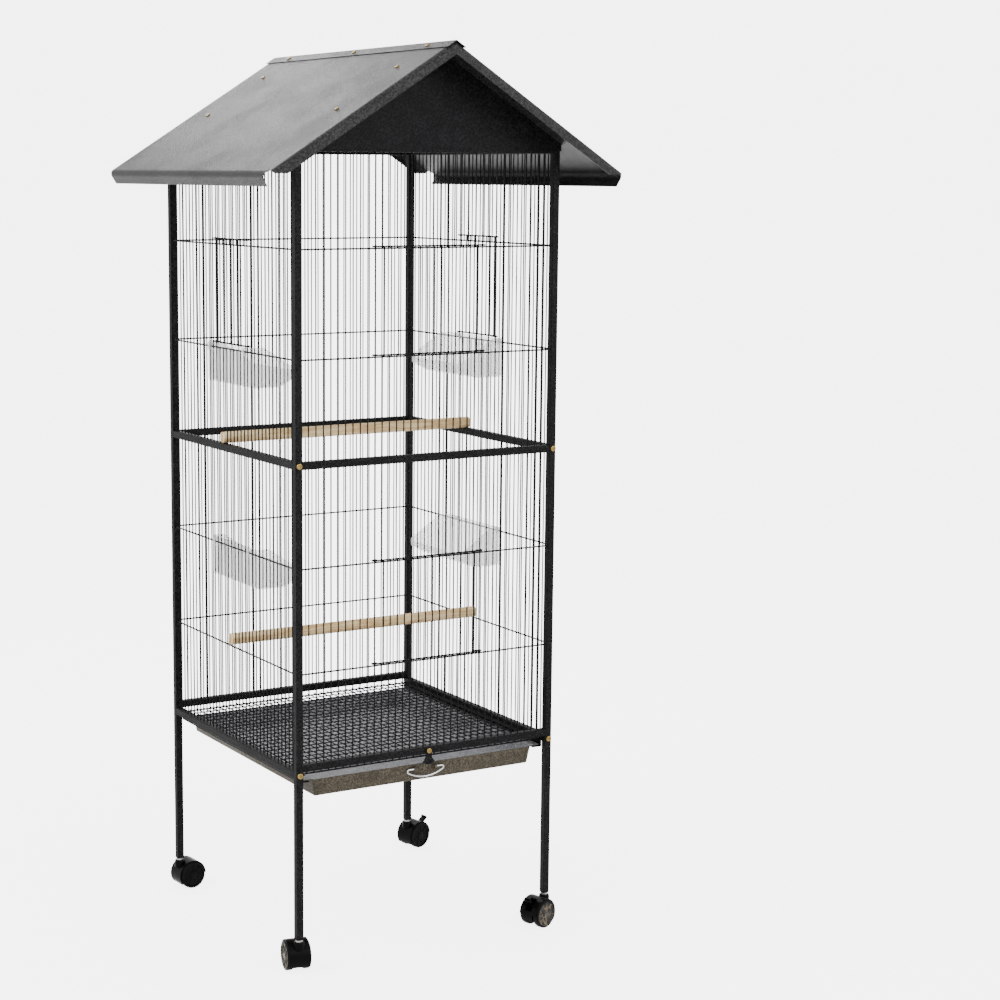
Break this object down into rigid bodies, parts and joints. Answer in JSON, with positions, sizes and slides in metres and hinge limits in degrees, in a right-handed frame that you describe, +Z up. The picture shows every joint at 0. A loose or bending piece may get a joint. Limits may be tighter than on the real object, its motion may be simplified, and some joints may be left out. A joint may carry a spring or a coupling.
{
  "type": "bird cage on stand",
  "caption": "Tall square bird cage on a rolling stand: tube frame, wire walls with lift doors, feed cups, perches, pull-out tray and a pitched sheet-metal roof.",
  "frame": {"origin": "on the floor, under the middle of the cage", "axes": "+Z up, +X to the right along the front, +Y to the back; the front has the tall doors and the tray latch"},
  "size_m": [0.6692, 0.66, 1.55],
  "materials": {
    "frame_paint": "black hammered powder coat with silver veining",
    "wire_paint": "black powder coat, satin",
    "roof_paint": "dark grey hammered powder coat",
    "runner_paint": "black powder coat",
    "tray_paint": "brown-grey hammered powder coat",
    "yellow_zinc": "yellow zinc plating, satin",
    "latch_paint": "black powder coat",
    "handle_chrome": "bright",
    "lug_steel": "painted over",
    "cup_plastic": "translucent white",
    "perch_wood": "bare, sanded",
    "hood_plastic": "black, satin",
    "wheel_plastic": "black, satin",
    "lever_plastic": "black, satin",
    "stem_zinc": "zinc plated",
    "plug_plastic": "black, moulded"
  },
  "bodies": {
    "cage": {"post_front_left": "frame_paint", "post_front_right": "frame_paint", "post_back_left": "frame_paint", "post_back_right": "frame_paint", "leg_front_left": "frame_paint", "leg_front_right": "frame_paint", "leg_back_left": "frame_paint", "leg_back_right": "frame_paint", "front_rails": "frame_paint", "back_rails": "frame_paint", "left_rails": "frame_paint", "right_rails": "frame_paint", "front_upper_wires": "wire_paint", "front_lower_wires": "wire_paint", "back_upper_wires": "wire_paint", "back_lower_wires": "wire_paint", "left_upper_wires": "wire_paint", "left_lower_wires": "wire_paint", "right_upper_wires": "wire_paint", "right_lower_wires": "wire_paint", "grate": "wire_paint", "roof_left": "roof_paint", "roof_right": "roof_paint", "ridge_cap": "roof_paint", "gable_front": "roof_paint", "gable_back": "roof_paint", "tray_runners": "runner_paint", "frame_bolts": "yellow_zinc", "roof_screws": "yellow_zinc", "latch_screw": "yellow_zinc", "cup_upper_left": "cup_plastic", "cup_upper_right": "cup_plastic", "cup_lower_left": "cup_plastic", "cup_lower_right": "cup_plastic", "perch_upper": "perch_wood", "perch_lower": "perch_wood", "caster_stems": "stem_zinc", "leg_plugs": "plug_plastic"},
    "front_door_upper": {"front_door_upper": "wire_paint"},
    "front_door_lower": {"front_door_lower": "wire_paint"},
    "feeder_door_left": {"feeder_door_left": "wire_paint"},
    "feeder_door_right": {"feeder_door_right": "wire_paint"},
    "tray": {"tray": "tray_paint", "handle_lugs": "lug_steel"},
    "tray_handle": {"tray_handle": "handle_chrome"},
    "latch": {"latch_plate": "latch_paint"},
    "caster_front_left": {"caster_hood_front_left": "hood_plastic"},
    "wheel_front_left_a": {"wheel_front_left_a": "wheel_plastic"},
    "wheel_front_left_b": {"wheel_front_left_b": "wheel_plastic"},
    "caster_front_right": {"caster_hood_front_right": "hood_plastic"},
    "wheel_front_right_a": {"wheel_front_right_a": "wheel_plastic"},
    "wheel_front_right_b": {"wheel_front_right_b": "wheel_plastic"},
    "brake_lever_front_right": {"brake_lever_front_right": "lever_plastic"},
    "caster_back_left": {"caster_hood_back_left": "hood_plastic"},
    "wheel_back_left_a": {"wheel_back_left_a": "wheel_plastic"},
    "wheel_back_left_b": {"wheel_back_left_b": "wheel_plastic"},
    "caster_back_right": {"caster_hood_back_right": "hood_plastic"},
    "wheel_back_right_a": {"wheel_back_right_a": "wheel_plastic"},
    "wheel_back_right_b": {"wheel_back_right_b": "wheel_plastic"},
    "brake_lever_back_right": {"brake_lever_back_right": "lever_plastic"}
  },
  "joints": [
    {"name": "front_door_upper_lift", "type": "slide", "parent": "cage", "child": "front_door_upper", "axis": [0, 0, 1], "range_m": [0, 0.148]},
    {"name": "front_door_lower_lift", "type": "slide", "parent": "cage", "child": "front_door_lower", "axis": [0, 0, 1], "range_m": [0, 0.155]},
    {"name": "feeder_door_left_lift", "type": "slide", "parent": "cage", "child": "feeder_door_left", "axis": [0, 0, 1], "range_m": [0, 0.14]},
    {"name": "feeder_door_right_lift", "type": "slide", "parent": "cage", "child": "feeder_door_right", "axis": [0, 0, 1], "range_m": [0, 0.14]},
    {"name": "tray_pull", "type": "slide", "parent": "cage", "child": "tray", "axis": [0, -1, 0], "range_m": [0, 0.45]},
    {"name": "tray_handle_swing", "type": "hinge", "parent": "tray", "child": "tray_handle", "pos_m": [0, -0.2444, 0.322], "axis": [-1, 0, 0], "range_deg": [0, 90]},
    {"name": "latch_turn", "type": "hinge", "parent": "cage", "child": "latch", "pos_m": [0, -0.2549, 0.355], "axis": [0, -1, 0], "range_deg": [-100, 100]},
    {"name": "caster_front_left_swivel", "type": "hinge", "parent": "cage", "child": "caster_front_left", "pos_m": [-0.24765, -0.24765, 0.045], "axis": [0, 0, 1], "continuous": true},
    {"name": "wheel_front_left_a_roll", "type": "hinge", "parent": "caster_front_left", "child": "wheel_front_left_a", "pos_m": [-0.24422, -0.22998, 0.025], "axis": [-0.9816, 0.1908, 0], "continuous": true},
    {"name": "wheel_front_left_b_roll", "type": "hinge", "parent": "caster_front_left", "child": "wheel_front_left_b", "pos_m": [-0.24422, -0.22998, 0.025], "axis": [-0.9816, 0.1908, 0], "continuous": true},
    {"name": "caster_front_right_swivel", "type": "hinge", "parent": "cage", "child": "caster_front_right", "pos_m": [0.24765, -0.24765, 0.045], "axis": [0, 0, 1], "continuous": true},
    {"name": "wheel_front_right_a_roll", "type": "hinge", "parent": "caster_front_right", "child": "wheel_front_right_a", "pos_m": [0.23044, -0.25291, 0.025], "axis": [0.2924, -0.9563, 0], "continuous": true},
    {"name": "wheel_front_right_b_roll", "type": "hinge", "parent": "caster_front_right", "child": "wheel_front_right_b", "pos_m": [0.23044, -0.25291, 0.025], "axis": [0.2924, -0.9563, 0], "continuous": true},
    {"name": "brake_lever_front_right_press", "type": "hinge", "parent": "caster_front_right", "child": "brake_lever_front_right", "pos_m": [0.21705, -0.25701, 0.041], "axis": [0.2924, -0.9563, 0], "range_deg": [0, 22]},
    {"name": "caster_back_left_swivel", "type": "hinge", "parent": "cage", "child": "caster_back_left", "pos_m": [-0.24765, 0.24765, 0.045], "axis": [0, 0, 1], "continuous": true},
    {"name": "wheel_back_left_a_roll", "type": "hinge", "parent": "caster_back_left", "child": "wheel_back_left_a", "pos_m": [-0.22972, 0.24922, 0.025], "axis": [-0.0872, 0.9962, 0], "continuous": true},
    {"name": "wheel_back_left_b_roll", "type": "hinge", "parent": "caster_back_left", "child": "wheel_back_left_b", "pos_m": [-0.22972, 0.24922, 0.025], "axis": [-0.0872, 0.9962, 0], "continuous": true},
    {"name": "caster_back_right_swivel", "type": "hinge", "parent": "cage", "child": "caster_back_right", "pos_m": [0.24765, 0.24765, 0.045], "axis": [0, 0, 1], "continuous": true},
    {"name": "wheel_back_right_a_roll", "type": "hinge", "parent": "caster_back_right", "child": "wheel_back_right_a", "pos_m": [0.26512, 0.252, 0.025], "axis": [-0.2419, 0.9703, 0], "continuous": true},
    {"name": "wheel_back_right_b_roll", "type": "hinge", "parent": "caster_back_right", "child": "wheel_back_right_b", "pos_m": [0.26512, 0.252, 0.025], "axis": [-0.2419, 0.9703, 0], "continuous": true},
    {"name": "brake_lever_back_right_press", "type": "hinge", "parent": "caster_back_right", "child": "brake_lever_back_right", "pos_m": [0.2787, 0.25539, 0.041], "axis": [-0.2419, 0.9703, 0], "range_deg": [0, 22]}
  ]
}
